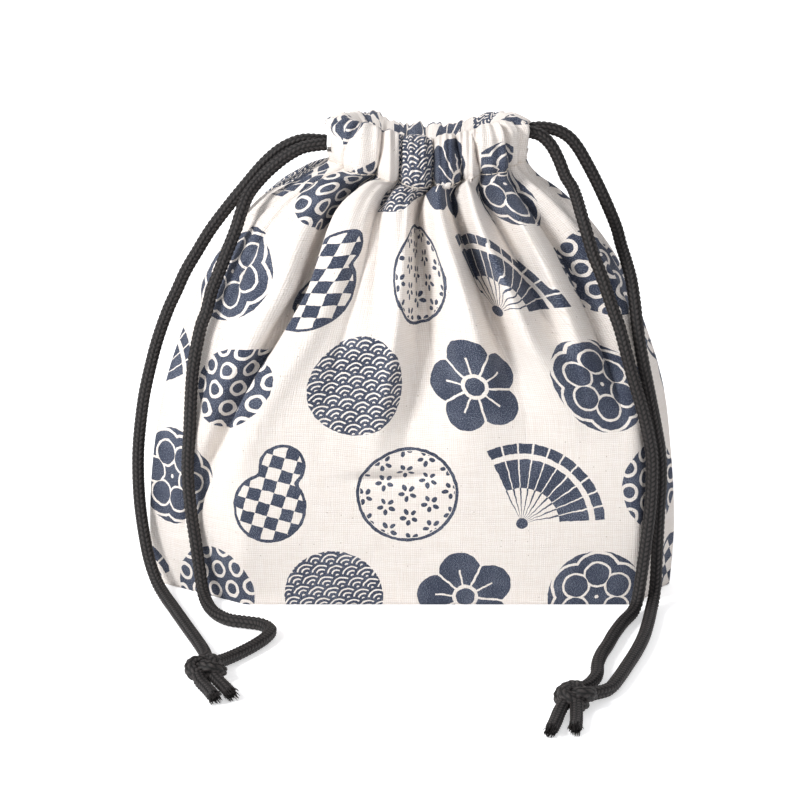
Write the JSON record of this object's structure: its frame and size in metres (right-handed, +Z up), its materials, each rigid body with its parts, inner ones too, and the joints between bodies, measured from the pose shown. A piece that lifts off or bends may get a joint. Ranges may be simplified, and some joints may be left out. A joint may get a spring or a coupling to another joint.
{
  "type": "kinchaku drawstring pouch",
  "caption": "Small gathered cotton pouch with a boxed base, a mouth casing and two black drawcords that end in knots.",
  "frame": {"origin": "centre of the pouch's own box at its base, on the surface it stands on, cords and knots apart", "axes": "+Z up out of the mouth, +X along the wide front to the wearer's right of the picture, -Y out of the front face"},
  "size_m": [0.2059, 0.2073, 0.1809],
  "materials": {
    "printed_canvas": "plain woven, matt, with a navy print",
    "black_cord": "matt braid"
  },
  "bodies": {
    "root": {"pouch_cloth": "printed_canvas", "left_drawcord": "black_cord", "right_drawcord": "black_cord", "left_knot": "black_cord", "right_knot": "black_cord"}
  },
  "joints": []
}
